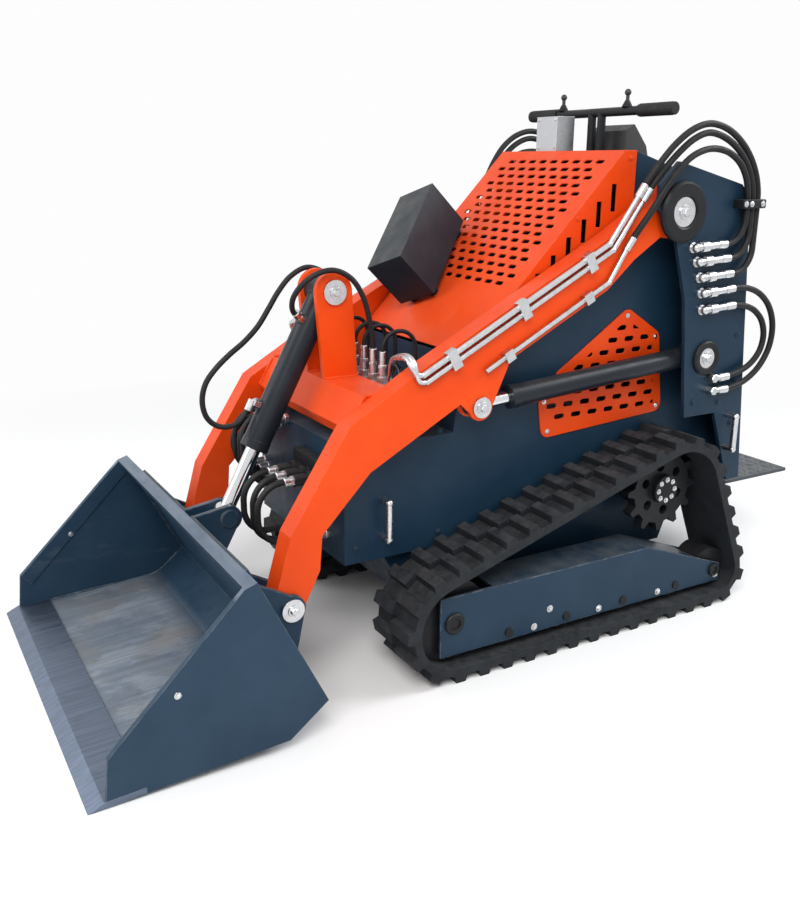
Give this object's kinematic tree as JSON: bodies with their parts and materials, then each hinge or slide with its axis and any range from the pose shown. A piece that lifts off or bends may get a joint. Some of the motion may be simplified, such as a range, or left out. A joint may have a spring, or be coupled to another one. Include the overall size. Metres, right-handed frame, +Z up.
{
  "type": "skid steer loader",
  "caption": "Compact stand-on tracked loader with rubber tracks, lift arms, a tilting dirt bucket, a sloped hood and a fold-up rear platform.",
  "frame": {"origin": "on the ground under the centre of the box: halfway between the bucket's lip and the platform's rear edge", "axes": "+X forward, +Y to the operator's left, +Z up"},
  "size_m": [2.3, 1.02, 1.436],
  "materials": {
    "orange_paint": "semi-gloss paint",
    "slate_paint": "satin paint",
    "black_paint": "satin paint",
    "black_plastic": "moulded",
    "worn_steel": "bare, worn",
    "chromed_rod": "polished",
    "engine_metal": "as cast",
    "track_rubber": "moulded"
  },
  "bodies": {
    "chassis": {"hood_cover": "orange_paint", "hood_side_left": "orange_paint", "hood_side_right": "orange_paint", "side_grille_left": "orange_paint", "side_grille_right": "orange_paint", "floor_plate": "slate_paint", "belly_frame": "slate_paint", "front_panel": "slate_paint", "side_panel_left": "slate_paint", "side_panel_right": "slate_paint", "rear_panel": "slate_paint", "console_cover": "slate_paint", "tower_left": "slate_paint", "tower_right": "slate_paint", "hood_box": "slate_paint", "track_frame_left": "slate_paint", "track_frame_right": "slate_paint", "handlebar": "black_paint", "drive_motors": "black_paint", "sprocket_left": "black_paint", "sprocket_right": "black_paint", "rollers_left": "black_paint", "rollers_right": "black_paint", "levers": "black_plastic", "gauge_pod": "black_plastic", "couplers": "black_plastic", "pivot_pins": "worn_steel", "control_box": "worn_steel", "hose_fittings": "worn_steel", "tie_downs": "worn_steel", "engine_block": "engine_metal", "track_left": "track_rubber", "track_right": "track_rubber"},
    "arms": {"arm_left": "orange_paint", "arm_right": "orange_paint", "cross_beam": "orange_paint", "tilt_ears": "orange_paint", "arm_pins": "worn_steel", "arm_lines": "worn_steel", "manifold": "worn_steel"},
    "bucket": {"bucket_shell": "slate_paint", "cutting_edge": "worn_steel", "hitch": "slate_paint", "hitch_pins": "worn_steel"},
    "lift_barrel_l": {"lift_barrel_left": "black_paint"},
    "lift_barrel_r": {"lift_barrel_right": "black_paint"},
    "lift_rod_l": {"lift_rod_left": "chromed_rod"},
    "lift_rod_r": {"lift_rod_right": "chromed_rod"},
    "tilt_barrel_b": {"tilt_barrel": "black_paint"},
    "tilt_rod_b": {"tilt_rod": "chromed_rod"},
    "stand_platform": {"platform": "slate_paint"}
  },
  "joints": [
    {"name": "lift", "type": "hinge", "parent": "chassis", "child": "arms", "pos_m": [-0.493, 0, 1.122], "axis": [0, -1, 0], "range_deg": [0, 75]},
    {"name": "tilt", "type": "hinge", "parent": "arms", "child": "bucket", "pos_m": [0.632, 0, 0.255], "axis": [0, 1, 0], "range_deg": [-22, 94]},
    {"name": "platform_fold", "type": "hinge", "parent": "chassis", "child": "stand_platform", "pos_m": [-0.853, 0, 0.294], "axis": [0, 1, 0], "range_deg": [0, 80]},
    {"name": "lift_barrel_left", "type": "hinge", "parent": "chassis", "child": "lift_barrel_l", "pos_m": [-0.631, 0.306, 0.725], "axis": [0, -1, 0], "range_deg": [0, 54.54]},
    {"name": "lift_rod_left", "type": "slide", "parent": "lift_barrel_l", "child": "lift_rod_l", "axis": [0.9971, 0, -0.0767], "range_m": [0, 0.391]},
    {"name": "lift_barrel_right", "type": "hinge", "parent": "chassis", "child": "lift_barrel_r", "pos_m": [-0.631, -0.306, 0.725], "axis": [0, -1, 0], "range_deg": [0, 54.54]},
    {"name": "lift_rod_right", "type": "slide", "parent": "lift_barrel_r", "child": "lift_rod_r", "axis": [0.9971, 0, -0.0767], "range_m": [0, 0.391]},
    {"name": "tilt_barrel", "type": "hinge", "parent": "arms", "child": "tilt_barrel_b", "pos_m": [0.368, 0, 0.932], "axis": [0, -1, 0], "range_deg": [-2, 2]},
    {"name": "tilt_rod", "type": "slide", "parent": "tilt_barrel_b", "child": "tilt_rod_b", "axis": [0.4701, 0, -0.8826], "range_m": [-0.047, 0.191]}
  ],
  "couplings": [
    {"joint": "lift_barrel_left", "follows": "lift", "ratio": 0.72049},
    {"joint": "lift_rod_left", "follows": "lift", "m_per_rad": 0.29643},
    {"joint": "lift_barrel_right", "follows": "lift", "ratio": 0.72049},
    {"joint": "lift_rod_right", "follows": "lift", "m_per_rad": 0.29643},
    {"joint": "tilt_barrel", "follows": "tilt", "ratio": 0.0036},
    {"joint": "tilt_rod", "follows": "tilt", "m_per_rad": 0.11458}
  ]
}
